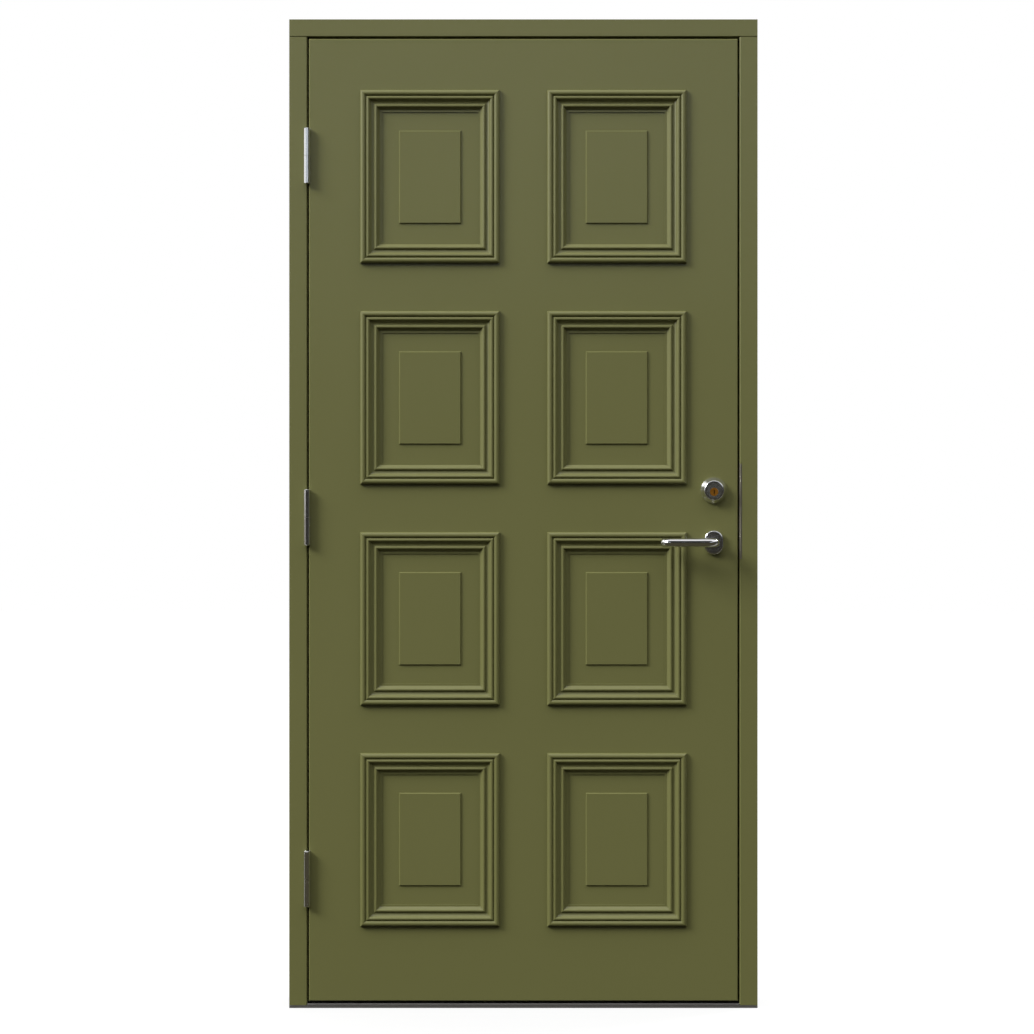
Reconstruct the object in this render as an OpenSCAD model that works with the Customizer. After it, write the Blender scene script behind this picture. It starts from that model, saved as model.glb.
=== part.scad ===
// Panelled front door in its frame. The insulated leaf has two columns of four fielded panels,
// each framed by a mitred bolection moulding. It swings outwards on three lift-off hinges and is
// held by a mortise lock with a lever on each side and a cylinder above.
// +X runs to the right seen from outside, -Y is outside and +Z is up. The origin is the middle
// of the sill's underside.

/* [Frame] */
// Width over both jambs
frame_w = 990; // [940:5:1090]
// Height from the sill's underside to the top of the head
frame_h = 2090; // [2060:5:2190]
// Depth of the frame through the wall
frame_depth = 115; // [105:1:150]
// Width of a jamb's outside face
jamb_face = 38; // [34:0.5:44]
// Height of the head's outside face
head_face = 37; // [34:0.5:44]
// Lap of the stop behind the leaf
stop_lap = 12; // [11:0.5:16]
// Chamfer on the edges that show
edge_chamfer = 2; // [1:0.25:2.5]

/* [Sill] */
// Thickness of the plate under the jambs
sill_plate = 6; // [4:0.5:8]
// Height of the tread under the leaf
sill_tread = 9; // [8.5:0.5:11]
// Height of the sill's back edge
sill_back = 14; // [10:0.5:18]
// Width of the flat crest of the sill's stop
sill_crest = 22; // [15:1:30]
// Number of grip grooves in the tread
grip_grooves = 4; // [2:1:5]
// Pitch of the grip grooves
grip_pitch = 8; // [6:0.5:9]

/* [Seals] */
// Space between the leaf and the stop
seal_space = 3.5; // [3:0.25:5]
// Width of a seal's stem
seal_stem = 3.6; // [3:0.1:4]
// Depth of a seal's stem in its groove
seal_depth = 5; // [4:0.25:6]

/* [Leaf] */
// Thickness of the leaf
leaf_t = 60; // [56:0.5:63]
// Gap beside the leaf
side_gap = 3.5; // [3.25:0.25:4.5]
// Gap above the leaf
top_gap = 4; // [3:0.25:6]
// Gap between the tread and the leaf
bottom_gap = 5.5; // [4:0.25:8]
// Thickness of the outer skin
skin_t = 14; // [12.5:0.5:16]
// Thickness of the inner skin
inner_skin_t = 6; // [4:0.5:8]
// Width of the hinge stile
hinge_stile_w = 70; // [55:1:100]
// Width of the lock stile
lock_stile_w = 115; // [105:1:125]
// Height of the top rail
top_rail_h = 90; // [60:1:120]
// Height of the bottom rail
bottom_rail_h = 140; // [80:1:160]

/* [Panels] */
// Outside width of a panel's moulding
moulding_w = 294.5; // [270:0.5:310]
// Outside height of a panel's moulding
moulding_h = 366; // [330:0.5:375]
// Space between the two columns
column_gap = 100.5; // [80:0.5:120]
// Space between two rows
row_gap = 101; // [80:0.5:105]
// Space above the first row
panel_top_margin = 109; // [90:0.5:125]
// Depth of the panel's surface behind the leaf's face
panel_sink = 5; // [4:0.25:6]
// Thickness of a panel board at its edge
panel_board_t = 4; // [3:0.25:5]
// Height of the raised field
field_rise = 3; // [2:0.25:3.5]
// Distance of the field's sides from the moulding
field_inset = 36; // [25:0.5:45]
// Distance of the field's ends from the moulding
field_end_inset = 39; // [25:0.5:45]
// Run of the field's sloped side
field_slope = 2; // [1:0.25:4]

/* [Moulding] */
// Height of the outer bead
outer_bead_rise = 9; // [8:0.25:11]
// Radius of the outer bead
outer_bead_r = 6.25; // [5:0.25:6.5]
// Height of the second bead
second_bead_rise = 8; // [7:0.25:9]
// Radius of the second bead
second_bead_r = 4; // [3.5:0.25:5]
// Width of the cove
cove_w = 7; // [6:0.25:9]
// Height of the cove's foot
cove_foot_rise = 0.8; // [0.5:0.1:1]
// Angle where a bead gives way to the slope below it
cove_turn = 20; // [10:1:30]
// Height of the inner bead
inner_bead_rise = 4.25; // [2.75:0.25:4.5]
// Radius of the inner bead
inner_bead_r = 3.5; // [3.25:0.25:4]
// Width of the slope down to the panel
slope_w = 4.5; // [4:0.25:7]
// Width of the ledge at the slope's foot
ledge_w = 4.5; // [2:0.25:6]
// Height of the ledge over the panel
ledge_rise = 2; // [1.5:0.25:2.5]

/* [Hinges] */
// Height of a whole hinge
hinge_h = 118; // [100:1:130]
// Diameter of the knuckles
knuckle_d = 13.6; // [12.5:0.2:14]
// Distance of the hinge axis from the leaf's face
hinge_reach = 7.5; // [7.25:0.25:9]
// Thickness of the hinge plates
hinge_plate_t = 3; // [2.5:0.25:3.25]
// Width of the hinge plates
hinge_plate_w = 32; // [28:0.5:40]
// Diameter of the hinge pins
hinge_pin_d = 8; // [6:0.25:9]
// Length of a hinge pin in each half
hinge_pin_half = 34; // [25:1:42]
// Line between the two knuckles
hinge_split = 0.6; // [0.4:0.1:1]
// Centre of the top hinge below the leaf's top
hinge_top_drop = 248.5; // [220:0.5:300]
// Centre of the bottom hinge above the leaf's bottom
hinge_bottom_lift = 259.5; // [230:0.5:300]

/* [Lock] */
// Height of the lever's spindle
spindle_z = 984; // [960:1:1020]
// Distance of the spindle from the leaf's edge
backset = 51.5; // [50:0.5:55]
// Height of the cylinder above the spindle
cylinder_rise = 110; // [107:1:113]
// Height of the lock case
case_h = 170; // [166:1:180]
// Depth of the lock case
case_depth = 82; // [76:1:90]
// Thickness of the lock case
case_t = 18; // [17:0.5:20]
// Wall of the lock case
case_wall = 1.5; // [1:0.25:1.75]
// Height of the faceplate
faceplate_h = 235; // [225:1:250]
// Width of the faceplate
faceplate_w = 22; // [20:0.5:24]
// Thickness of the faceplate
faceplate_t = 3; // [2:0.25:4]
// Height of the strike plate
strike_h = 202; // [180:1:220]
// Depth of the strike plate in the rebate
strike_leg = 47; // [46:0.5:50]
// Width of the strike plate's lip on the jamb's face
strike_lip = 5.25; // [5:0.25:8]
// Thickness of the strike plate
strike_t = 2.5; // [2:0.25:3]
// Travel of the latch
latch_throw = 11; // [10:0.5:12]
// Travel of the dead bolt
bolt_throw = 20; // [16:0.5:22]

/* [Handles] */
// Diameter of a lever's bar
lever_d = 18.5; // [15:0.25:20]
// Distance of the bar's centre from the leaf
lever_reach = 52; // [46:0.5:58]
// Length of a lever from the spindle to its tip
lever_length = 115; // [105:1:125]
// Radius of the lever's bends
lever_bend = 14; // [11:0.5:16]
// Length of the straight end that points back to the leaf
lever_return = 8; // [4:0.5:12]
// Side of the square spindle
spindle_side = 8; // [7:0.25:9]
// Width of a rose
rose_w = 40; // [36:0.5:44]
// Height of a rose
rose_h = 51; // [49:0.5:56]
// Thickness of a rose
rose_t = 9.5; // [8.5:0.5:12]
// Spacing of the two rose bolts
rose_bolt_spacing = 37; // [36:0.25:38]

/* [Cylinder] */
// Diameter of the ring at the leaf
ring_d = 55; // [52:0.5:60]
// Diameter of the ring's front rim
ring_rim_d = 43; // [40:0.5:46]
// Height of the ring
ring_h = 16; // [13:0.5:20]
// Diameter of the lock cylinder
cylinder_d = 32; // [31:0.25:34]
// Depth of the cylinder's face behind the rim
cylinder_recess = 0.5; // [0.25:0.25:3]
// Diameter of the key plug
plug_d = 17.5; // [15:0.25:18]
// Distance of the plug's axis under the cylinder's axis
plug_drop = 3; // [2:0.25:4]
// Height of the thumb turn's wing
turn_wing = 34; // [28:0.5:42]
// Thickness of the thumb turn's wing
turn_t = 12; // [10:0.5:14]
// Diameter of the thumb turn's rose
turn_rose_d = 52; // [46:0.5:56]
// Thickness of the thumb turn's rose
turn_rose_t = 8; // [6:0.5:10]

/* [Fixings] */
// Outside diameter of a fixing sleeve
sleeve_d = 18; // [16:0.5:20]
// Bore of a fixing sleeve
sleeve_bore = 9; // [8:0.25:10]
// Distance of the end fixings from the frame's ends
fixing_end = 150; // [120:5:170]
// Spacing of the two fixings of a pair
fixing_spacing = 550; // [480:5:560]

/* [Hidden] */
$fn = 64;

// Colours
paint = [0.40, 0.41, 0.27];
steel = [0.66, 0.66, 0.65];
bright_steel = [0.80, 0.80, 0.80];
sill_grey = [0.40, 0.39, 0.37];
seal_black = [0.07, 0.07, 0.07];
foam = [0.88, 0.86, 0.78];
brass = [0.78, 0.55, 0.28];

// Small clearances
seat = 0.02;   // a piece in its seat
running = 0.06;   // a shaft in its bearing
loose = 0.25;   // a piece in a pocket
over = 1;   // how far a cut runs past a face

// Frame lines
half_w = frame_w / 2;
front_y = -frame_depth / 2;
back_y = frame_depth / 2;
rebate_x = half_w - jamb_face;
stop_x = rebate_x - side_gap - stop_lap;
stop_y = front_y + leaf_t + seal_space;
head_z = frame_h - head_face;
head_stop_z = head_z - top_gap - stop_lap;

// Leaf lines
leaf_x = rebate_x - side_gap;
leaf_top = head_z - top_gap;
leaf_bottom = sill_tread + bottom_gap;
leaf_back = front_y + leaf_t;
core_front = front_y + skin_t;
core_back = leaf_back - inner_skin_t;
sill_stop = leaf_bottom + stop_lap;

// Edges of the sill and grip grooves of its tread
sill_edge = 1;
grip_w = 2;
grip_depth = 0.8;
grip_start = 9;

// Seals: the stem's line lies in the middle of the lap
seal_line_x = stop_x + stop_lap / 2;
seal_line_head = head_stop_z + stop_lap / 2;
seal_line_sill = sill_stop - stop_lap / 2;
seal_touch = 0.3;   // a seal's bulb to the leaf or the tread
seal_bulb = seal_space - seal_touch;

// Small sizes of the moulding
bead_foot = 0.1;   // the outer edge under the first bead
cove_flat = 2;   // level ground between the cove and the inner bead
panel_cover = 1;   // how far the inner bead's middle stands over the leaf's face

// Moulding section: u runs inwards from its outer edge and v outwards from the leaf's face
outer_bead_v = outer_bead_rise - outer_bead_r;
second_bead_u = 2 * outer_bead_r + second_bead_r;
second_bead_v = second_bead_rise - second_bead_r;
bead_valley = second_bead_v;   // bottom of the line between the first two beads
cove_top_u = second_bead_u + second_bead_r * cos(cove_turn);
cove_top_v = second_bead_v + second_bead_r * sin(cove_turn);
cove_foot_u = second_bead_u + second_bead_r + cove_w;
cove_run = cove_foot_u - cove_top_u;
cove_drop = cove_top_v - cove_foot_rise;
cove_r = (cove_run * cove_run + cove_drop * cove_drop) / (2 * cove_drop);
inner_bead_u = cove_foot_u + cove_flat + inner_bead_r;
inner_bead_v = inner_bead_rise - inner_bead_r;
shoulder_r = 0.97 * inner_bead_r;   // the slope starts just inside the bead
shoulder_u = inner_bead_u + shoulder_r * cos(cove_turn);
shoulder_v = inner_bead_v + shoulder_r * sin(cove_turn);
moulding_lap = inner_bead_u + panel_cover;
ledge_u = inner_bead_u + inner_bead_r + slope_w;
ledge_v = ledge_rise - panel_sink;
moulding_face = ledge_u + ledge_w;
mitre_gap = 0.05;

// Panels: as many rows as end above the bottom rail and columns as leave the cylinder's ring free
row_pitch = moulding_h + row_gap;
column_pitch = moulding_w + column_gap;
panel_room_h = leaf_top - leaf_bottom - panel_top_margin - bottom_rail_h;
panel_room_w = 2 * (leaf_x - backset - ring_d / 2);
panel_rows = floor((panel_room_h + row_gap) / row_pitch);
panel_columns = floor((panel_room_w + column_gap) / column_pitch);
side_names = ["left", "right", "third", "fourth"];
sides = [for (column = [0:panel_columns - 1]) side_names[column]];
recess_depth = panel_sink + panel_board_t;
recess_w = moulding_w - 2 * moulding_lap;
recess_h = moulding_h - 2 * moulding_lap;
field_w = moulding_w - 2 * moulding_face - 2 * field_inset;
field_h = moulding_h - 2 * moulding_face - 2 * field_end_inset;

// Hinges
knuckle_r = knuckle_d / 2;
hinge_x = -rebate_x;
hinge_y = front_y - hinge_reach;
hinge_top_z = leaf_top - hinge_top_drop;
hinge_bottom_z = leaf_bottom + hinge_bottom_lift;
hinge_names = ["top", "middle", "bottom"];
hinge_zs = [hinge_top_z, (hinge_top_z + hinge_bottom_z) / 2, hinge_bottom_z];
knuckle_edge = 1.2;
hinge_pin_r = hinge_pin_d / 2;
hinge_corner = 6;
hinge_screw_end = 16.5;   // end of the plate to its last screw
hinge_screw_rise = hinge_h / 2 - hinge_screw_end;
hinge_screw_edge = 14;   // inner edge of the plate to its screws
hinge_screw_y = front_y + hinge_plate_w - hinge_screw_edge;

// Screws
screw_head_r = 4.2;
screw_head_h = 2.4;
screw_shank_r = 2.2;
screw_length = 28;
screw_drive_r = 2;
screw_drive_depth = 1.6;

// Lock
lock_y = (core_front + core_back) / 2;
spindle_x = leaf_x - backset;
cylinder_z = spindle_z + cylinder_rise;
turn_z = cylinder_z - plug_drop;
case_z = (spindle_z + cylinder_z) / 2;
case_front_x = leaf_x - faceplate_t;
latch_rise = 32;   // latch above the spindle
latch_z = spindle_z + latch_rise;
latch_t = 12;
latch_h = 20;
latch_head = 22;
latch_tail = 60;
latch_tail_t = 5;
latch_tail_h = 8;
latch_nose_t = 3;
bolt_rise = 74;   // dead bolt above the spindle
bolt_z = spindle_z + bolt_rise;
bolt_t = 13;
bolt_h = 28;
bolt_length = 40;
bolt_inset = 0.5;
follower_r = 10;
strike_lift = 13;   // strike plate above the middle of the two bolts
strike_z = (latch_z + bolt_z) / 2 + strike_lift;
faceplate_z = case_z;
plate_screw_end = 12;   // end of the strike plate to its screw
faceplate_screw_rise = (case_h + faceplate_h) / 4;   // midway between the ends of case and plate
strike_screw_rise = strike_h / 2 - plate_screw_end;
pocket_depth_room = 2;   // past the end of a bolt
pocket_side_room = 1;
pocket_end_room = 1.5;   // above and below a bolt

// Levers and roses
lever_r = lever_d / 2;
grip_y = front_y - lever_reach;
lever_root = 0.5;   // the neck's end to the leaf
lever_tip_edge = 2;
spindle_socket = 24;
spindle_hole_r = 7;
rose_edge = 3;
rose_bolt_rise = rose_bolt_spacing / 2;
rose_bolt_r = 2;
rose_bolt_head_r = 3.6;
rose_bolt_head_h = 2.2;
rose_bolt_bite = 6;

// Cylinder and thumb turn
cylinder_r = cylinder_d / 2;
plug_r = plug_d / 2;
cylinder_face = front_y - ring_h + cylinder_recess;
case_outer_y = lock_y - case_t / 2;
case_inner_y = lock_y + case_t / 2;
ring_foot = 3;
ring_lip = 3;   // radius of the ring's front edge
keyway_w = 2.4;
keyway_h = 9;
keyway_depth = 22;
plug_tail_w = 3;
plug_tail_h = 9;
plug_tail_in = 4;
turn_stem_r = 9;
turn_stem_out = 4;
turn_wing_out = 20;
turn_shaft_side = 6;
cam_r = 10;
cam_in = 8;

// Fixings
sleeve_r = sleeve_d / 2;
sleeve_bore_r = sleeve_bore / 2;
sleeve_hex_r = 7;
sleeve_hex_depth = 8;
fixing_y = front_y + leaf_t / 2;
fixing_zs = [fixing_end, fixing_end + fixing_spacing,
    frame_h - fixing_end - fixing_spacing, frame_h - fixing_end];

// Names of the sub-parts
panel_nodes = [for (row = [1:panel_rows], side = sides) str("panel_row", row, "_", side)];
moulding_nodes = [for (row = [1:panel_rows], side = sides) str("moulding_row", row, "_", side)];
hinge_frame_nodes = [for (name = hinge_names) str("hinge_", name, "_frame_half")];
hinge_leaf_nodes = [for (name = hinge_names) str("hinge_", name, "_leaf_half")];

// Extrudes a section drawn in Y and Z along X, centred
module along_x(length) {
    translate([-length / 2, 0, 0]) rotate([90, 0, 90]) linear_extrude(length) children();
}

// Extrudes an outline drawn in X and Z from one Y to another
module along_y(from, to) {
    translate([0, to, 0]) rotate([90, 0, 0]) linear_extrude(to - from) children();
}

// A box between two corners
module block(low, high) {
    translate(low) cube(high - low);
}

// A rod along X from one place to another
module rod_x(from, to, r, y, z) {
    translate([from, y, z]) rotate([0, 90, 0]) cylinder(h = to - from, r = r);
}

// A rod along Y from one place to another
module rod_y(from, to, r, x, z) {
    translate([x, to, z]) rotate([90, 0, 0]) cylinder(h = to - from, r = r);
}

// A turned shape whose axis points outwards from a place on a face
module turned_y(x, y, z) {
    translate([x, y, z]) rotate([90, 0, 0]) rotate_extrude() children();
}

// An upright outline with half-round ends
module stadium(width, height) {
    square([width, height - width], center = true);
    for (side = [-1, 1]) translate([0, side * (height - width) / 2]) circle(width / 2);
}

// Half the section of a disc with a round front edge, from its axis outwards
module disc_section(r, thickness) {
    square([r - rose_edge, thickness]);
    square([r, thickness - rose_edge]);
    translate([r - rose_edge, thickness - rose_edge]) circle(rose_edge);
}

// A rectangle with four round corners
module round_rectangle(size, r) {
    square([size[0] - 2 * r, size[1]], center = true);
    square([size[0], size[1] - 2 * r], center = true);
    for (x = [-1, 1], y = [-1, 1])
        translate([x * (size[0] / 2 - r), y * (size[1] / 2 - r)]) circle(r);
}

// Frame pieces

// Section of the lock jamb, drawn in X and Y
module jamb_section() {
    polygon([
        [rebate_x + edge_chamfer, front_y],
        [half_w, front_y],
        [half_w, back_y],
        [stop_x + edge_chamfer, back_y],
        [stop_x, back_y - edge_chamfer],
        [stop_x, stop_y],
        [rebate_x, stop_y],
        [rebate_x, front_y + edge_chamfer]]);
}

module jamb_blank() {
    difference() {
        translate([0, 0, sill_plate]) linear_extrude(head_z - sill_plate) jamb_section();
        block([stop_x - over, stop_y, head_stop_z], [half_w + over, back_y + over, head_z + over]);
        side_seal_groove();
        for (z = fixing_zs)
            rod_x(rebate_x - over, half_w + over, sleeve_r + seat, fixing_y, z);
    }
}

module side_seal_groove() {
    block([seal_line_x - seal_stem / 2 - seat, stop_y - over, sill_plate - over],
        [seal_line_x + seal_stem / 2 + seat, stop_y + seal_depth + seat, seal_line_head]);
}

module hinge_jamb() {
    color(paint) difference() {
        mirror([1, 0, 0]) jamb_blank();
        for (z = hinge_zs) frame_plate(z);
        for (z = hinge_zs) knuckle_relief(z);
        for (z = hinge_zs) frame_hinge_screws(z, seat);
    }
}

module lock_jamb() {
    color(paint) difference() {
        jamb_blank();
        strike_blank();
        latch_pocket(latch_throw - side_gap + pocket_depth_room);
        bolt_pocket(bolt_throw - side_gap + pocket_depth_room);
        strike_screws(seat);
    }
}

module frame_head() {
    color(paint) difference() {
        along_x(frame_w) polygon([
            [front_y, head_z + edge_chamfer],
            [front_y, frame_h],
            [back_y, frame_h],
            [back_y, head_stop_z + edge_chamfer],
            [back_y - edge_chamfer, head_stop_z],
            [stop_y, head_stop_z],
            [stop_y, head_z],
            [front_y + edge_chamfer, head_z]]);
        for (side = [0, 1]) mirror([side, 0, 0]) side_seal_groove();
        along_x(2 * half_w + 2 * over) head_seal_stem(seat);
    }
}

module sill() {
    color(sill_grey) difference() {
        along_x(frame_w) polygon([
            [front_y, 0],
            [back_y, 0],
            [back_y, sill_back],
            [stop_y + sill_crest, sill_stop],
            [stop_y + sill_edge, sill_stop],
            [stop_y, sill_stop - sill_edge],
            [stop_y, sill_tread],
            [front_y + sill_edge, sill_tread],
            [front_y, sill_tread - sill_edge]]);
        for (side = [0, 1]) mirror([side, 0, 0]) {
            block([rebate_x, front_y - over, sill_plate], [half_w + over, back_y + over, sill_stop + over]);
            block([stop_x, stop_y, sill_plate], [half_w + over, back_y + over, sill_stop + over]);
        }
        for (i = [0:grip_grooves - 1])
            block([-rebate_x, front_y + grip_start + i * grip_pitch, sill_tread - grip_depth],
                [rebate_x, front_y + grip_start + i * grip_pitch + grip_w, sill_tread + over]);
        along_x(frame_w) sill_seal_stem(seat);
    }
}

// A seal's stem and half-round bulb, with its stem in +Y and its bulb in -Y of the stop's face
module seal_section() {
    translate([-seal_stem / 2, 0]) square([seal_stem, seal_depth]);
    intersection() {
        circle(seal_bulb);
        translate([-seal_bulb, -seal_bulb]) square([2 * seal_bulb, seal_bulb]);
    }
}

module head_seal_stem(room) {
    translate([stop_y - over, seal_line_head - seal_stem / 2 - room])
        square([over + seal_depth + room, seal_stem + 2 * room]);
}

module sill_seal_stem(room) {
    translate([stop_y - over, seal_line_sill - seal_stem / 2 - room])
        square([over + seal_depth + room, seal_stem + 2 * room]);
}

module seal_head() {
    color(seal_black) along_x(2 * (seal_line_x + seal_bulb))
        translate([stop_y, seal_line_head]) rotate(-90) seal_section();
}

module seal_sill() {
    color(seal_black) along_x(2 * stop_x)
        translate([stop_y, seal_line_sill]) rotate(-90) seal_section();
}

module side_seal() {
    foot = sill_tread + seal_touch;
    color(seal_black) translate([seal_line_x, stop_y, foot])
        linear_extrude(seal_line_head - seal_bulb - foot) seal_section();
}

module seal_lock_side() {
    side_seal();
}

module seal_hinge_side() {
    mirror([1, 0, 0]) side_seal();
}

module strike_blank() {
    translate([0, 0, strike_z - strike_h / 2]) linear_extrude(strike_h) polygon([
        [rebate_x + edge_chamfer, front_y],
        [rebate_x + strike_lip, front_y],
        [rebate_x + strike_lip, front_y + strike_t],
        [rebate_x + strike_t, front_y + strike_t],
        [rebate_x + strike_t, front_y + strike_leg],
        [rebate_x, front_y + strike_leg],
        [rebate_x, front_y + edge_chamfer]]);
}

// Room for the latch in the lock jamb, to a depth behind the rebate
module latch_pocket(depth) {
    side = latch_t / 2 + pocket_side_room;
    rise = latch_h / 2 + pocket_end_room;
    block([rebate_x - over, lock_y - side, latch_z - rise],
        [rebate_x + depth, lock_y + side, latch_z + rise]);
}

// Room for the dead bolt in the lock jamb, to a depth behind the rebate
module bolt_pocket(depth) {
    side = bolt_t / 2 + pocket_side_room;
    rise = bolt_h / 2 + pocket_end_room;
    block([rebate_x - over, lock_y - side, bolt_z - rise],
        [rebate_x + depth, lock_y + side, bolt_z + rise]);
}

module strike_plate() {
    color(steel) difference() {
        strike_blank();
        latch_pocket(strike_t + over);
        bolt_pocket(strike_t + over);
        strike_screws(seat);
    }
}

// A countersunk screw that goes in along +X from the face at the origin
module screw(room) {
    length = screw_length + room;
    difference() {
        rotate([0, 90, 0]) union() {
            cylinder(h = screw_head_h, r1 = screw_head_r + room, r2 = screw_shank_r + room);
            cylinder(h = length, r = screw_shank_r + room);
        }
        if (room == 0)
            translate([-over, 0, 0]) rotate([0, 90, 0])
                cylinder(h = over + screw_drive_depth, r = screw_drive_r, $fn = 6);
    }
}

module strike_screws(room) {
    for (rise = [-strike_screw_rise, strike_screw_rise])
        translate([rebate_x, lock_y, strike_z + rise]) screw(room);
}

module frame_hinge_screws(z, room) {
    for (rise = [-hinge_screw_rise, 0, hinge_screw_rise])
        translate([-rebate_x, hinge_screw_y, z + rise]) mirror([1, 0, 0]) screw(room);
}

module leaf_hinge_screws(z, room) {
    for (rise = [-hinge_screw_rise, 0, hinge_screw_rise])
        translate([-leaf_x, hinge_screw_y, z + rise]) screw(room);
}

module faceplate_screws(room) {
    for (rise = [-faceplate_screw_rise, faceplate_screw_rise])
        translate([leaf_x, lock_y, faceplate_z + rise]) mirror([1, 0, 0]) screw(room);
}

module frame_screws() {
    color(steel) {
        strike_screws(0);
        for (z = hinge_zs) frame_hinge_screws(z, 0);
    }
}

module leaf_screws() {
    color(steel) {
        faceplate_screws(0);
        for (z = hinge_zs) leaf_hinge_screws(z, 0);
    }
}

module fixing_sleeves() {
    color(steel) for (side = [0, 1], z = fixing_zs) mirror([side, 0, 0]) difference() {
        rod_x(rebate_x, half_w, sleeve_r, fixing_y, z);
        rod_x(rebate_x - over, half_w + over, sleeve_bore_r, fixing_y, z);
        translate([rebate_x - over, fixing_y, z]) rotate([0, 90, 0])
            cylinder(h = over + sleeve_hex_depth, r = sleeve_hex_r, $fn = 6);
    }
}

// Hinges

// Outline of a hinge plate from the face inwards, with round corners at its inner edge
module plate_outline() {
    translate([hinge_plate_w / 2, 0]) round_rectangle([hinge_plate_w, hinge_h], hinge_corner);
    translate([hinge_corner / 2, 0]) square([hinge_corner, hinge_h], center = true);
}

// A hinge plate that starts at a place in X and lies behind the face
module hinge_plate(x, z) {
    translate([x, front_y, z]) rotate([90, 0, 90]) linear_extrude(hinge_plate_t) plate_outline();
}

module frame_plate(z) {
    hinge_plate(-rebate_x - hinge_plate_t, z);
}

module leaf_plate(z) {
    hinge_plate(-leaf_x, z);
}

// A knuckle with one chamfered end, standing on the split line
module knuckle(z, height) {
    translate([hinge_x, hinge_y, z]) rotate_extrude() polygon([
        [0, 0],
        [knuckle_r, 0],
        [knuckle_r, height - knuckle_edge],
        [knuckle_r - knuckle_edge, height],
        [0, height]]);
}

// Room for a knuckle that reaches behind the face
module knuckle_relief(z) {
    translate([hinge_x, hinge_y, z - hinge_h / 2 - loose])
        cylinder(h = hinge_h + 2 * loose, r = knuckle_r + loose);
}

module knuckle_bore(z, clearance) {
    translate([hinge_x, hinge_y, z - hinge_pin_half])
        cylinder(h = 2 * hinge_pin_half, r = hinge_pin_r + clearance);
}

module hinge_frame_half(z) {
    half = hinge_h / 2 - hinge_split / 2;
    color(bright_steel) difference() {
        union() {
            mirror([0, 0, 1]) knuckle(hinge_split / 2 - z, half);
            frame_plate(z);
            block([-rebate_x - hinge_plate_t, hinge_y, z - hinge_h / 2 + knuckle_edge],
                [-rebate_x, front_y + hinge_corner, z - hinge_split / 2]);
        }
        knuckle_bore(z, seat);
        frame_hinge_screws(z, seat);
    }
}

module hinge_leaf_half(z) {
    half = hinge_h / 2 - hinge_split / 2;
    color(bright_steel) difference() {
        union() {
            knuckle(z + hinge_split / 2, half);
            leaf_plate(z);
            block([-leaf_x, hinge_y, z + hinge_split / 2],
                [-leaf_x + hinge_plate_t, front_y + hinge_corner, z + hinge_h / 2 - knuckle_edge]);
        }
        knuckle_bore(z, running);
        leaf_hinge_screws(z, seat);
    }
}

module hinge_pins() {
    color(steel) for (z = hinge_zs)
        translate([hinge_x, hinge_y, z - hinge_pin_half])
            cylinder(h = 2 * hinge_pin_half - running, r = hinge_pin_r);
}

// Leaf pieces

// A board as wide and high as the leaf, with chamfered edges on its outer or inner face
module leaf_board(front, back, front_edge, back_edge) {
    intersection() {
        translate([0, 0, leaf_bottom]) linear_extrude(leaf_top - leaf_bottom) polygon([
            [-leaf_x + front_edge, front],
            [leaf_x - front_edge, front],
            [leaf_x, front + front_edge],
            [leaf_x, back - back_edge],
            [leaf_x - back_edge, back],
            [-leaf_x + back_edge, back],
            [-leaf_x, back - back_edge],
            [-leaf_x, front + front_edge]]);
        along_x(2 * leaf_x) polygon([
            [front, leaf_bottom + front_edge],
            [front + front_edge, leaf_bottom],
            [back - back_edge, leaf_bottom],
            [back, leaf_bottom + back_edge],
            [back, leaf_top - back_edge],
            [back - back_edge, leaf_top],
            [front + front_edge, leaf_top],
            [front, leaf_top - front_edge]]);
    }
}

// Middle of a panel, by its row from the top and its column
function panel_centre(row, column) = [
    (column - (panel_columns - 1) / 2) * column_pitch,
    leaf_top - panel_top_margin - moulding_h / 2 - (row - 1) * row_pitch];

// Holes through the leaf for the spindle, the cylinder and the rose bolts
module lock_holes() {
    rod_y(front_y - over, leaf_back + over, spindle_hole_r, spindle_x, spindle_z);
    rod_y(front_y - over, case_outer_y, cylinder_r + loose, spindle_x, cylinder_z);
    rod_y(case_inner_y, leaf_back + over, turn_stem_r + loose, spindle_x, turn_z);
    for (side = [-1, 1])
        rod_y(front_y - over, leaf_back + over, rose_bolt_r + loose,
            spindle_x, spindle_z + side * rose_bolt_rise);
}

module outer_skin() {
    color(paint) difference() {
        leaf_board(front_y, core_front, edge_chamfer, 0);
        for (row = [1:panel_rows], column = [0:panel_columns - 1]) {
            centre = panel_centre(row, column);
            block([centre[0] - recess_w / 2, front_y - over, centre[1] - recess_h / 2],
                [centre[0] + recess_w / 2, front_y + recess_depth, centre[1] + recess_h / 2]);
        }
        lock_holes();
        for (z = hinge_zs) leaf_plate(z);
        for (z = hinge_zs) knuckle_relief(z);
    }
}

module inner_skin() {
    color(paint) difference() {
        leaf_board(core_back, leaf_back, 0, edge_chamfer);
        lock_holes();
    }
}

module hinge_stile() {
    color(paint) difference() {
        block([-leaf_x, core_front, leaf_bottom], [-leaf_x + hinge_stile_w, core_back, leaf_top]);
        for (z = hinge_zs) leaf_plate(z);
        for (z = hinge_zs) leaf_hinge_screws(z, seat);
    }
}

module lock_stile() {
    color(paint) difference() {
        block([leaf_x - lock_stile_w, core_front, leaf_bottom], [leaf_x, core_back, leaf_top]);
        block([case_front_x - case_depth - loose, case_outer_y - loose, case_z - case_h / 2 - loose],
            [leaf_x + over, case_inner_y + loose, case_z + case_h / 2 + loose]);
        faceplate_blank();
        faceplate_screws(seat);
        lock_holes();
    }
}

module top_rail() {
    color(paint) block([-leaf_x + hinge_stile_w, core_front, leaf_top - top_rail_h],
        [leaf_x - lock_stile_w, core_back, leaf_top]);
}

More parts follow.
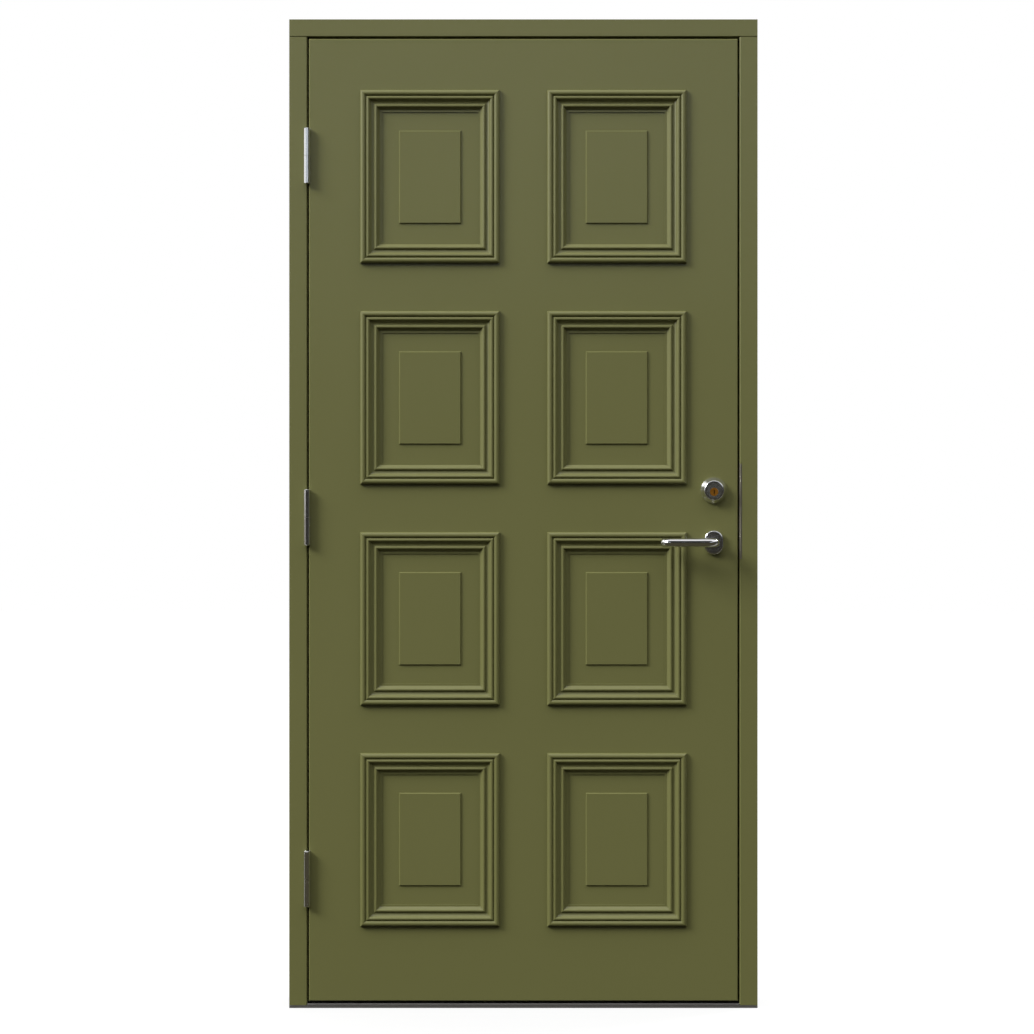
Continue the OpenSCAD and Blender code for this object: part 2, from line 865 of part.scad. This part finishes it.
module bottom_rail() {
    color(paint) block([-leaf_x + hinge_stile_w, core_front, leaf_bottom],
        [leaf_x - lock_stile_w, core_back, leaf_bottom + bottom_rail_h]);
}

module insulation_core() {
    color(foam) block([-leaf_x + hinge_stile_w, core_front, leaf_bottom + bottom_rail_h],
        [leaf_x - lock_stile_w, core_back, leaf_top - top_rail_h]);
}

// A raised field with four sloped sides, on the panel's surface and centred on the origin
module raised_field() {
    foot = front_y + panel_sink;
    top = foot - field_rise;
    intersection() {
        translate([0, 0, -field_h / 2]) linear_extrude(field_h) polygon([
            [-field_w / 2, foot],
            [-field_w / 2 + field_slope, top],
            [field_w / 2 - field_slope, top],
            [field_w / 2, foot]]);
        along_x(field_w) polygon([
            [foot, -field_h / 2],
            [top, -field_h / 2 + field_slope],
            [top, field_h / 2 - field_slope],
            [foot, field_h / 2]]);
    }
}

module panel(row, column) {
    centre = panel_centre(row, column);
    color(paint) translate([centre[0], 0, centre[1]]) union() {
        block([-recess_w / 2 + loose, front_y + panel_sink, -recess_h / 2 + loose],
            [recess_w / 2 - loose, front_y + recess_depth, recess_h / 2 - loose]);
        raised_field();
    }
}

// The moulding's section in u and v: two beads, a cove, a third bead and a slope to the panel
module moulding_section() {
    difference() {
        union() {
            difference() {
                polygon([
                    [bead_foot, -over],
                    [bead_foot, outer_bead_v],
                    [outer_bead_r, bead_valley],
                    [second_bead_u, bead_valley],
                    [second_bead_u, cove_top_v],
                    [inner_bead_u, cove_top_v],
                    [inner_bead_u, inner_bead_v],
                    [shoulder_u, shoulder_v],
                    [ledge_u, ledge_v],
                    [moulding_face, ledge_v],
                    [moulding_face, -panel_sink],
                    [moulding_lap, -panel_sink]]);
                translate([cove_foot_u, cove_foot_rise + cove_r]) circle(cove_r);
            }
            translate([outer_bead_r, outer_bead_v]) circle(outer_bead_r);
            translate([second_bead_u, second_bead_v]) circle(second_bead_r);
            translate([inner_bead_u, inner_bead_v]) circle(inner_bead_r);
        }
        translate([-over, -panel_sink - over])
            square([over + moulding_lap + loose, panel_sink + over]);
    }
}

// One mitred length of moulding whose outer edge lies at a height above the panel's middle
module moulding_length(length, reach) {
    tip = length / 2 - mitre_gap;
    intersection() {
        along_x(length) translate([front_y, reach]) rotate(-90) mirror([0, 1]) moulding_section();
        along_y(front_y - outer_bead_rise - over, front_y + panel_sink + over) polygon([
            [-tip, reach],
            [tip, reach],
            [tip - moulding_face, reach - moulding_face],
            [moulding_face - tip, reach - moulding_face]]);
    }
}

module moulding(row, column) {
    centre = panel_centre(row, column);
    color(paint) translate([centre[0], 0, centre[1]]) for (turn = [0, 180]) {
        rotate([0, turn, 0]) moulding_length(moulding_w, moulding_h / 2);
        rotate([0, turn + 90, 0]) moulding_length(moulding_h, moulding_w / 2);
    }
}

// Lock pieces

module faceplate_blank() {
    translate([case_front_x, lock_y, faceplate_z]) rotate([90, 0, 90]) linear_extrude(faceplate_t)
        stadium(faceplate_w, faceplate_h);
}

// Room for the two bolts where they pass the lock's front
module bolt_mouths() {
    latch_half = [latch_t / 2 + running, latch_h / 2 + running];
    bolt_half = [bolt_t / 2 + running, bolt_h / 2 + running];
    inner = case_front_x - case_wall - over;
    block([inner, lock_y - latch_half[0], latch_z - latch_half[1]],
        [leaf_x + over, lock_y + latch_half[0], latch_z + latch_half[1]]);
    block([inner, lock_y - bolt_half[0], bolt_z - bolt_half[1]],
        [leaf_x + over, lock_y + bolt_half[0], bolt_z + bolt_half[1]]);
}

module lock_faceplate() {
    color(steel) difference() {
        faceplate_blank();
        bolt_mouths();
        faceplate_screws(seat);
    }
}

module lock_case() {
    low = [case_front_x - case_depth, case_outer_y, case_z - case_h / 2];
    high = [case_front_x, case_inner_y, case_z + case_h / 2];
    wall = [case_wall, case_wall, case_wall];
    color(steel) difference() {
        block(low, high);
        block(low + wall, high - wall);
        bolt_mouths();
        rod_y(case_outer_y - over, case_inner_y + over, follower_r + running, spindle_x, spindle_z);
        rod_y(case_outer_y - over, lock_y, plug_r, spindle_x, turn_z);
        rod_y(lock_y, case_inner_y + over, cam_r + running, spindle_x, turn_z);
        for (side = [-1, 1])
            rod_y(case_outer_y - over, case_inner_y + over, rose_bolt_r + loose,
                spindle_x, spindle_z + side * rose_bolt_rise);
    }
}

module lock_follower() {
    color(steel) difference() {
        rod_y(case_outer_y, case_inner_y, follower_r, spindle_x, spindle_z);
        square_rod(case_outer_y - over, case_inner_y + over, spindle_side + 2 * seat, spindle_z);
    }
}

// A square rod along Y on the spindle's line
module square_rod(from, to, side, z) {
    block([spindle_x - side / 2, from, z - side / 2], [spindle_x + side / 2, to, z + side / 2]);
}

module spindle() {
    root = lever_root + rose_t;
    color(steel) square_rod(front_y - root - spindle_socket + over,
        leaf_back + root + spindle_socket - over, spindle_side, spindle_z);
}

// The latch's nose is cut on its inner side, so that it rides in over the strike plate
module latch_bolt() {
    tip = leaf_x + latch_throw;
    color(steel) union() {
        translate([0, 0, latch_z - latch_h / 2]) linear_extrude(latch_h) polygon([
            [leaf_x - latch_head, lock_y - latch_t / 2],
            [tip, lock_y - latch_t / 2],
            [tip, lock_y - latch_t / 2 + latch_nose_t],
            [leaf_x, lock_y + latch_t / 2],
            [leaf_x - latch_head, lock_y + latch_t / 2]]);
        block([leaf_x - latch_tail, lock_y - latch_tail_t / 2, latch_z - latch_tail_h / 2],
            [leaf_x - latch_head + over, lock_y + latch_tail_t / 2, latch_z + latch_tail_h / 2]);
    }
}

module dead_bolt() {
    tip = leaf_x - bolt_inset;
    color(steel) block([tip - bolt_length, lock_y - bolt_t / 2, bolt_z - bolt_h / 2],
        [tip, lock_y + bolt_t / 2, bolt_z + bolt_h / 2]);
}

// Turns children to the other face of the leaf
module inside() {
    translate([0, front_y + leaf_back, 0]) mirror([0, 1, 0]) children();
}

// An oval rose on the outside face: two half-round ends and a straight middle
module rose_blank() {
    r = rose_w / 2;
    straight = rose_h - rose_w;
    translate([spindle_x, front_y, spindle_z]) rotate([90, 0, 0]) {
        for (turn = [0, 180]) rotate(turn)
            translate([0, straight / 2, 0]) rotate_extrude(angle = 180) disc_section(r, rose_t);
        translate([0, straight / 2, 0]) rotate([90, 0, 0]) linear_extrude(straight) {
            disc_section(r, rose_t);
            mirror([1, 0]) disc_section(r, rose_t);
        }
    }
}

module rose_bore() {
    rod_y(front_y - rose_t - over, front_y + over, lever_r + running, spindle_x, spindle_z);
}

module outside_rose() {
    color(steel) difference() {
        rose_blank();
        rose_bore();
        for (side = [-1, 1])
            rod_y(front_y - rose_bolt_bite, front_y + over, rose_bolt_r + seat,
                spindle_x, spindle_z + side * rose_bolt_rise);
    }
}

module inside_rose() {
    color(steel) difference() {
        inside() rose_blank();
        inside() rose_bore();
        for (side = [-1, 1]) rose_bolt(side, seat);
    }
}

// A countersunk bolt from the inside rose to the outside rose
module rose_bolt(side, room) {
    z = spindle_z + side * rose_bolt_rise;
    head = leaf_back + rose_t;
    rod_y(front_y - rose_bolt_bite + over, head, rose_bolt_r + room, spindle_x, z);
    translate([spindle_x, head, z]) rotate([90, 0, 0])
        cylinder(h = rose_bolt_head_h, r1 = rose_bolt_head_r + room, r2 = rose_bolt_r + room);
}

module rose_bolts() {
    color(steel) for (side = [-1, 1]) rose_bolt(side, 0);
}

// A quarter bend of a lever's bar in the level plane
module lever_elbow() {
    rotate_extrude(angle = 90) translate([lever_bend, 0]) circle(lever_r);
}

// A round bar that leaves the rose, runs towards the hinges and turns back to the leaf
module lever_bar() {
    neck_end = grip_y + lever_bend;
    near = spindle_x - lever_bend;
    far = spindle_x - lever_length + lever_r + lever_bend;
    rod_y(neck_end, front_y - lever_root, lever_r, spindle_x, spindle_z);
    translate([near, neck_end, spindle_z]) rotate([0, 0, -90]) lever_elbow();
    rod_x(far, near, lever_r, grip_y, spindle_z);
    translate([far, neck_end, spindle_z]) rotate([0, 0, 180]) lever_elbow();
    translate([far - lever_bend, neck_end, spindle_z]) rotate([-90, 0, 0]) rotate_extrude() {
        square([lever_r - lever_tip_edge, lever_return]);
        square([lever_r, lever_return - lever_tip_edge]);
        translate([lever_r - lever_tip_edge, lever_return - lever_tip_edge]) circle(lever_tip_edge);
    }
}

module lever() {
    root = lever_root + rose_t;
    difference() {
        lever_bar();
        square_rod(front_y - root - spindle_socket, front_y + over, spindle_side + 2 * seat, spindle_z);
    }
}

module outside_lever() {
    color(bright_steel) lever();
}

module inside_lever() {
    color(bright_steel) inside() lever();
}

// Cylinder and thumb turn

// A cone with a rounded front edge and a level face round the cylinder
module cylinder_ring() {
    lip_middle = ring_rim_d / 2 - ring_lip;
    lip_height = ring_h - ring_lip;
    cone = [ring_d / 2 - lip_middle, lip_height - ring_foot];
    lip_turn = acos(ring_lip / norm(cone)) - atan2(cone[1], cone[0]);   // where the cone meets the edge
    bore = cylinder_r + running;
    color(steel) turned_y(spindle_x, front_y, cylinder_z) difference() {
        union() {
            polygon([
                [0, 0],
                [ring_d / 2, 0],
                [ring_d / 2, ring_foot],
                [lip_middle + ring_lip * cos(lip_turn), lip_height + ring_lip * sin(lip_turn)],
                [lip_middle, lip_height],
                [lip_middle, ring_h],
                [0, ring_h]]);
            translate([lip_middle, lip_height]) circle(ring_lip);
        }
        translate([-over, -over]) square([over + bore, ring_h + 2 * over]);
    }
}

module cylinder_body() {
    color(bright_steel) difference() {
        rod_y(cylinder_face, case_outer_y, cylinder_r, spindle_x, cylinder_z);
        rod_y(cylinder_face - over, case_outer_y + over, plug_r + running, spindle_x, turn_z);
    }
}

module key_plug() {
    tail = [plug_tail_w / 2, 0, plug_tail_h / 2];
    middle = [spindle_x, 0, turn_z];
    color(brass) difference() {
        union() {
            rod_y(cylinder_face, case_outer_y, plug_r, spindle_x, turn_z);
            block(middle - tail + [0, case_outer_y - over, 0],
                middle + tail + [0, case_outer_y + plug_tail_in, 0]);
        }
        block([spindle_x - keyway_w / 2, cylinder_face - over, turn_z - keyway_h / 2],
            [spindle_x + keyway_w / 2, cylinder_face + keyway_depth, turn_z + keyway_h / 2]);
    }
}

module turn_rose() {
    color(steel) inside() turned_y(spindle_x, front_y, turn_z) difference() {
        disc_section(turn_rose_d / 2, turn_rose_t);
        translate([-over, -over]) square([over + turn_stem_r + running, turn_rose_t + 2 * over]);
    }
}

module thumb_turn() {
    stem_end = leaf_back + turn_rose_t + turn_stem_out;
    color(bright_steel) union() {
        rod_y(leaf_back - over, stem_end, turn_stem_r, spindle_x, turn_z);
        translate([spindle_x, 0, turn_z]) along_y(stem_end, stem_end + turn_wing_out)
            stadium(turn_t, turn_wing);
        square_rod(case_inner_y - cam_in, leaf_back, turn_shaft_side, turn_z);
    }
}

module bolt_cam() {
    color(steel) difference() {
        rod_y(case_inner_y - cam_in, case_inner_y, cam_r, spindle_x, turn_z);
        square_rod(case_inner_y - cam_in - over, case_inner_y + over, turn_shaft_side + 2 * seat, turn_z);
    }
}

frame_head();
hinge_jamb();
lock_jamb();
sill();
seal_head();
seal_hinge_side();
seal_lock_side();
seal_sill();
strike_plate();
fixing_sleeves();
frame_screws();
hinge_pins();
for (i = [0:2]) {
    hinge_frame_half(hinge_zs[i]);
    hinge_leaf_half(hinge_zs[i]);
}
outer_skin();
inner_skin();
hinge_stile();
lock_stile();
top_rail();
bottom_rail();
insulation_core();
for (row = [1:panel_rows], column = [0:panel_columns - 1]) {
    i = (row - 1) * panel_columns + column;
    panel(row, column);
    moulding(row, column);
}
leaf_screws();
lock_case();
lock_faceplate();
outside_rose();
inside_rose();
rose_bolts();
cylinder_ring();
cylinder_body();
turn_rose();
outside_lever();
inside_lever();
spindle();
lock_follower();
latch_bolt();
dead_bolt();
thumb_turn();
bolt_cam();
key_plug();
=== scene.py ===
import bpy
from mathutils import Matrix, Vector

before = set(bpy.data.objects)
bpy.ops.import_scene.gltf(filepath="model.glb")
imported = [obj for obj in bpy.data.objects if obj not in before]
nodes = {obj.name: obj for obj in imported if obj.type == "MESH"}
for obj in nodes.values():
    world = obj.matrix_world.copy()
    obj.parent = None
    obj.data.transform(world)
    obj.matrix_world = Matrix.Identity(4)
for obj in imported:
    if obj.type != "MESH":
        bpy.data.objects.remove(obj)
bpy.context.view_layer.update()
scene = bpy.context.scene
scene.view_settings.view_transform = "Standard"
print("door: loaded", len(nodes), "CAD nodes")

quarterTurn = 1.5707963  # in radians
white = (1, 1, 1, 1)
noiseMiddle = 0.5
mixLow, mixHigh, mixResult = 6, 7, 2  # colour sockets of a Mix node


class Wire:  # an output socket that can be used in sums
    def __init__(self, finish, socket):
        self.finish = finish
        self.socket = socket

    def math(self, operation, first, second):
        return self.finish.node(
            "ShaderNodeMath", {"operation": operation}, {0: first, 1: second})

    def __add__(self, other):
        return self.math("ADD", self, other)

    def __radd__(self, other):
        return self.math("ADD", other, self)

    def __sub__(self, other):
        return self.math("SUBTRACT", self, other)

    def __rsub__(self, other):
        return self.math("SUBTRACT", other, self)

    def __mul__(self, other):
        return self.math("MULTIPLY", self, other)

    def __rmul__(self, other):
        return self.math("MULTIPLY", other, self)


class Finish:  # the nodes of one material, or of the world
    def __init__(self, name, kind="materials"):
        self.owner = getattr(bpy.data, kind).new(name)
        self.owner.use_nodes = True
        self.tree = self.owner.node_tree
        self.tree.nodes.clear()

    def node(self, kind, settings=None, inputs=None, out=0):
        made = self.tree.nodes.new(kind)
        for key, value in (settings or {}).items():
            setattr(made, key, value)
        for key, value in (inputs or {}).items():
            if isinstance(value, Wire):
                self.tree.links.new(value.socket, made.inputs[key])
            else:
                made.inputs[key].default_value = value
        return Wire(self, made.outputs[out]) if made.outputs else None

    def place(self):  # a point on the piece, in metres
        return self.node("ShaderNodeTexCoord", out="Object")

    def stretched(self, scale):  # the same, drawn out along some axes
        return self.node("ShaderNodeMapping", {}, {"Vector": self.place(), "Scale": scale})

    def noise(self, where, scale, detail, rough=0.5):
        return self.node("ShaderNodeTexNoise", {}, {
            "Vector": where, "Scale": scale, "Detail": detail, "Roughness": rough}, "Fac")

    def blend(self, mask, low, high):  # one colour to another
        return self.node("ShaderNodeMix", {"data_type": "RGBA"}, {
            "Factor": mask, mixLow: low, mixHigh: high}, mixResult)

    def bump(self, height, depth):
        return self.node("ShaderNodeBump", {}, {
            "Height": height, "Distance": depth, "Strength": 1.0}, "Normal")

    def surface(self, **sockets):
        named = {key.replace("_", " "): value for key, value in sockets.items()}
        return self.node("ShaderNodeBsdfPrincipled", {}, named)

    def mix(self, mask, first, second):  # one shader to another
        return self.node("ShaderNodeMixShader", {}, {0: mask, 1: first, 2: second})

    def seen(self):  # 1 where the eye, a mirror or a pane looks, 0 where light falls
        rays = self.node("ShaderNodeLightPath", out="Is Camera Ray")
        for kind in ("Is Glossy Ray", "Is Transmission Ray"):
            rays = rays.math("MAXIMUM", rays, self.node("ShaderNodeLightPath", out=kind))
        return rays

    def done(self, shader, out="ShaderNodeOutputMaterial"):
        self.node(out, {}, {"Surface": shader})
        return self.owner


# Olive paint: sprayed satin coat with a fine orange peel and a slow change of tone
olivePaint = {
    "low": (0.112, 0.113, 0.0390, 1), "high": (0.122, 0.123, 0.0430, 1),
    "cloudScale": 2.2, "cloudDetail": 3, "peelScale": 420, "peelDetail": 2,
    "peelDepth": 0.000012, "roughness": 0.32, "roughnessSwing": 0.04, "gloss": 0.55,
}


def makePaint(name, paint):
    finish = Finish(name)
    cloud = finish.noise(finish.place(), paint["cloudScale"], paint["cloudDetail"])
    peel = finish.noise(finish.place(), paint["peelScale"], paint["peelDetail"])
    return finish.done(finish.surface(
        Base_Color=finish.blend(cloud, paint["low"], paint["high"]),
        Roughness=paint["roughness"] + (cloud - noiseMiddle) * paint["roughnessSwing"],
        Specular_IOR_Level=paint["gloss"],
        Normal=finish.bump(peel, paint["peelDepth"])))


# Steels: polished with faint hairlines and finger haze on the levers, duller elsewhere
polishedSteel = {
    "low": (0.73, 0.735, 0.75, 1), "high": (0.83, 0.835, 0.85, 1),
    "hairScale": (40, 900, 900), "hairDetail": 2, "hairDepth": 0.000003,
    "hazeScale": 60, "hazeDetail": 3, "roughness": 0.06, "hazeRise": 0.05,
}
roseSteel = dict(polishedSteel, roughness=0.15)
hingeSteel = dict(polishedSteel, hairScale=(900, 900, 30), roughness=0.12)
satinSteel = dict(polishedSteel, roughness=0.30,
                  low=(0.42, 0.41, 0.39, 1), high=(0.52, 0.51, 0.49, 1))
cylinderSteel = dict(polishedSteel, roughness=0.24,
                     low=(0.52, 0.52, 0.51, 1), high=(0.68, 0.68, 0.66, 1))
strikeSteel = dict(polishedSteel, roughness=0.36,
                   low=(0.25, 0.23, 0.18, 1), high=(0.32, 0.30, 0.24, 1))


def makeSteel(name, steel):
    finish = Finish(name)
    hair = finish.noise(finish.stretched(steel["hairScale"]), 1.0, steel["hairDetail"])
    haze = finish.noise(finish.place(), steel["hazeScale"], steel["hazeDetail"])
    return finish.done(finish.surface(
        Base_Color=finish.blend(haze, steel["low"], steel["high"]),
        Metallic=1.0,
        Roughness=steel["roughness"] + haze * steel["hazeRise"],
        Normal=finish.bump(hair, steel["hairDepth"])))


# Anodised sill: drawn lines along its length and some grit in them
sillMetal = {
    "low": (0.138, 0.132, 0.124, 1), "high": (0.215, 0.209, 0.198, 1), "metallic": 0.85,
    "lineScale": (1.5, 700, 700), "lineDetail": 3, "lineShare": 0.6, "lineDepth": 0.00002,
    "gritScale": 300, "gritDetail": 4, "gritShare": 0.4, "roughness": 0.42, "gritRise": 0.12,
}


def makeSill(name, sill):
    finish = Finish(name)
    lines = finish.noise(finish.stretched(sill["lineScale"]), 1.0, sill["lineDetail"])
    grit = finish.noise(finish.place(), sill["gritScale"], sill["gritDetail"])
    tone = lines * sill["lineShare"] + grit * sill["gritShare"]
    return finish.done(finish.surface(
        Base_Color=finish.blend(tone, sill["low"], sill["high"]),
        Metallic=sill["metallic"],
        Roughness=sill["roughness"] + grit * sill["gritRise"],
        Normal=finish.bump(lines, sill["lineDepth"])))


# Rubber of the seals: dull black with a dusty bloom
sealRubber = {
    "low": (0.010, 0.010, 0.010, 1), "high": (0.028, 0.028, 0.027, 1), "metallic": 0.0,
    "grainScale": 90, "grainDetail": 4, "grainRough": 0.5, "grainDepth": 0.00003,
    "roughness": 0.62, "grainRise": 0.15,
}

# Brass of the key plug: warm, and worn in patches where keys scrape
plugBrass = {
    "low": (0.26, 0.10, 0.008, 1), "high": (0.38, 0.16, 0.016, 1), "metallic": 0.75,
    "grainScale": 260, "grainDetail": 3, "grainRough": 0.5, "grainDepth": 0.00002,
    "roughness": 0.34, "grainRise": 0.15,
}

# Wool of the core, which only a section shows
coreWool = {
    "low": (0.50, 0.46, 0.33, 1), "high": (0.68, 0.64, 0.50, 1), "metallic": 0.0,
    "grainScale": 300, "grainDetail": 4, "grainRough": 0.6, "grainDepth": 0.0006,
    "roughness": 0.9, "grainRise": 0.1,
}


def makeGrained(name, stuff):
    finish = Finish(name)
    grain = finish.noise(
        finish.place(), stuff["grainScale"], stuff["grainDetail"], stuff["grainRough"])
    return finish.done(finish.surface(
        Base_Color=finish.blend(grain, stuff["low"], stuff["high"]),
        Metallic=stuff["metallic"],
        Roughness=stuff["roughness"] + grain * stuff["grainRise"],
        Normal=finish.bump(grain, stuff["grainDepth"])))


finishes = {
    "paint": makePaint("olivePaint", olivePaint),
    "lever": makeSteel("polishedSteel", polishedSteel),
    "rose": makeSteel("roseSteel", roseSteel),
    "hinge": makeSteel("hingeSteel", hingeSteel),
    "steel": makeSteel("satinSteel", satinSteel),
    "cylinder": makeSteel("cylinderSteel", cylinderSteel),
    "strike": makeSteel("strikeSteel", strikeSteel),
    "sill": makeSill("sillMetal", sillMetal),
    "seal": makeGrained("sealRubber", sealRubber),
    "plug": makeGrained("plugBrass", plugBrass),
    "wool": makeGrained("coreWool", coreWool),
}
print("door: mixed", len(finishes), "finishes")

wearing = {
    "lever": ["outside_lever", "inside_lever", "thumb_turn"],
    "rose": ["outside_rose", "inside_rose", "cylinder_ring", "turn_rose"],
    "cylinder": ["cylinder_body"],
    "strike": ["strike_plate"],
    "steel": ["fixing_sleeves", "frame_screws", "leaf_screws", "hinge_pins", "lock_case",
              "lock_faceplate", "rose_bolts", "spindle", "lock_follower", "latch_bolt",
              "dead_bolt", "bolt_cam"],
    "sill": ["sill"],
    "plug": ["key_plug"],
    "wool": ["insulation_core"],
}
finishOf = {name: key for key, names in wearing.items() for name in names}


def finishFor(name):
    if name in finishOf:
        return finishOf[name]
    if name.startswith("seal_"):
        return "seal"
    return "hinge" if name.endswith("_half") else "paint"


for name, node in nodes.items():
    node.data.materials.clear()
    node.data.materials.append(finishes[finishFor(name)])
print("door: finishes laid on")


def laySheet(name, paper, size, at, turn=(0, 0, 0), scale=(1, 1, 1)):
    bpy.ops.object.select_all(action="DESELECT")
    bpy.ops.mesh.primitive_plane_add(size=size, location=at, rotation=turn)
    sheet = bpy.context.object
    sheet.name = name
    sheet.scale = scale
    sheet.data.materials.append(paper)
    return sheet


# Floor: a pale sheet that the eye sees, with the door's shadow, over one that lights the door
floorPaper = {"grainScale": 3.0, "grainDetail": 3, "roughness": 0.8}
floorSheets = [
    {"name": "studioFloor", "size": 40.0, "height": -0.0003, "white": 0.80, "forEye": True,
     "low": (0.45, 0.45, 0.445, 1), "high": (0.48, 0.48, 0.475, 1)},
    {"name": "bounceFloor", "size": 40.0, "height": -0.0009, "white": 0.96, "forEye": False,
     "low": (0.86, 0.86, 0.85, 1), "high": (0.90, 0.90, 0.89, 1)},
]


def makeFloor(floor):
    finish = Finish(floor["name"] + "Paper")
    grain = finish.noise(finish.place(), floorPaper["grainScale"], floorPaper["grainDetail"])
    paper = finish.surface(
        Base_Color=finish.blend(grain, floor["low"], floor["high"]),
        Roughness=floorPaper["roughness"])
    glow = finish.node("ShaderNodeEmission", {}, {"Color": white, "Strength": 1.0})
    mixed = finish.mix(finish.seen() * floor["white"], paper, glow)
    sheet = laySheet(
        floor["name"], finish.done(mixed), floor["size"], (0, 0, floor["height"]))
    sheet.visible_camera = floor["forEye"]
    sheet.visible_diffuse = sheet.visible_glossy = sheet.visible_shadow = not floor["forEye"]


for floor in floorSheets:
    makeFloor(floor)

# Cards: two on the floor that dim its bounce, and upright ones that only gloss mirrors
cardCloth = {"weaveScale": 40, "weaveDetail": 2, "darker": 0.9, "lighter": 1.1,
             "roughness": 0.95, "gloss": 0.0}
lying, facing, sideways = (0, 0, 0), (quarterTurn, 0, 0), (0, quarterTurn, 0)
studioCards = [
    {"name": "floorCard", "size": (36.0, 18.0), "at": (0, -9.06, -0.0006), "turn": lying,
     "colour": (0.0195, 0.0175, 0.0105), "mirrorOnly": False},
    {"name": "backFloorCard", "size": (36.0, 18.0), "at": (0, 9.06, -0.0006), "turn": lying,
     "colour": (0.070, 0.067, 0.058), "mirrorOnly": False},
    {"name": "backWallCard", "size": (16.0, 3.2), "at": (0, 8.5, 1.6), "turn": facing,
     "colour": (0.10, 0.10, 0.095), "mirrorOnly": True},
    {"name": "wallCard", "size": (16.0, 2.75), "at": (0, -8.5, 1.375), "turn": facing,
     "colour": (0.030, 0.028, 0.024), "mirrorOnly": True},
    {"name": "skylineCard", "size": (16.0, 2.0), "at": (0, -8.5, 3.75), "turn": facing,
     "colour": (0.66, 0.71, 0.76), "mirrorOnly": True},
    {"name": "wallTopCard", "size": (16.0, 7.75), "at": (0, -8.5, 8.625), "turn": facing,
     "colour": (0.050, 0.050, 0.050), "mirrorOnly": True},
    {"name": "leverCard", "size": (0.9, 0.62), "at": (0.36, -2.0, 1.5), "turn": facing,
     "colour": (0.030, 0.028, 0.024), "mirrorOnly": True},
    {"name": "rightCard", "size": (4.0, 16.0), "at": (7.0, -0.4, 2.0), "turn": sideways,
     "colour": (0.040, 0.040, 0.038), "mirrorOnly": True},
    {"name": "leftCard", "size": (1.2, 16.0), "at": (-7.0, -0.4, 0.6), "turn": sideways,
     "colour": (0.20, 0.18, 0.13), "mirrorOnly": True},
]


def makeCard(card):
    finish = Finish(card["name"])
    weave = finish.noise(finish.place(), cardCloth["weaveScale"], cardCloth["weaveDetail"])
    low, high = ([cardCloth[shade] * part for part in card["colour"]] + [1]
                 for shade in ("darker", "lighter"))
    cloth = finish.surface(
        Base_Color=finish.blend(weave, low, high),
        Roughness=cardCloth["roughness"], Specular_IOR_Level=cardCloth["gloss"])
    sheet = laySheet(
        card["name"], finish.done(cloth), 1.0, card["at"], card["turn"], (*card["size"], 1))
    sheet.visible_camera = False
    sheet.visible_shadow = False  # the lamps shine through it
    sheet.visible_diffuse = not card["mirrorOnly"]


for card in studioCards:
    makeCard(card)
print("door: floor and cards laid")

# World: white behind the door, and as light a soft sky that is dark near the ground
studioAir = {"ground": 0.02, "zenith": 4.4, "steepness": 2.2, "seen": 1.0}


def makeWorld(air):
    finish = Finish("studioAir", "worlds")
    way = finish.node("ShaderNodeTexCoord", out="Generated")
    up = finish.node("ShaderNodeSeparateXYZ", {}, {0: way}, "Z")
    sky = up.math("POWER", up.math("MAXIMUM", up, 0.0), air["steepness"])
    light, backdrop = (
        finish.node("ShaderNodeBackground", {}, {"Color": white, "Strength": strength})
        for strength in (sky * air["zenith"] + air["ground"], air["seen"]))
    mixed = finish.mix(finish.seen(), light, backdrop)
    scene.world = finish.done(mixed, "ShaderNodeOutputWorld")


makeWorld(studioAir)

# Lamps: a big soft box far up on the left, and another behind for the inner side
softBoxes = [
    {"name": "keyBox", "at": (-16.8, -8.0, 13.35), "aim": (0, 0, 1.05), "size": 9.0,
     "watts": 6880},
    {"name": "backBox", "at": (7.5, 5.0, 7.2), "aim": (0, 0, 1.05), "size": 3.0,
     "watts": 1280},
]


def makeLamp(box):
    bpy.ops.object.select_all(action="DESELECT")
    bpy.ops.object.light_add(type="AREA", location=box["at"])
    lamp = bpy.context.object
    lamp.name = box["name"]
    lamp.data.shape = "DISK"
    lamp.data.size = box["size"]
    lamp.data.energy = box["watts"]
    beam = Vector(box["aim"]) - Vector(box["at"])
    lamp.rotation_euler = beam.to_track_quat("-Z", "Y").to_euler()


for box in softBoxes:
    makeLamp(box)
print("door: lit by", len(softBoxes), "lamps")

# Camera: square on, with the door a little right of the middle and above it
eye = {"from": 4.8, "x": -0.01354, "z": 1.0380, "faceY": -0.0575, "span": 2.1858,
       "sensor": 36.0}


def makeCamera(eye):
    bpy.ops.object.select_all(action="DESELECT")
    bpy.ops.object.camera_add(location=(eye["x"], eye["faceY"] - eye["from"], eye["z"]),
                              rotation=facing)
    camera = bpy.context.object
    camera.name = "doorEye"
    camera.data.sensor_width = eye["sensor"]
    camera.data.lens = eye["sensor"] * eye["from"] / eye["span"]
    camera.data.dof.use_dof = False
    scene.camera = camera


makeCamera(eye)
print("door: camera set")
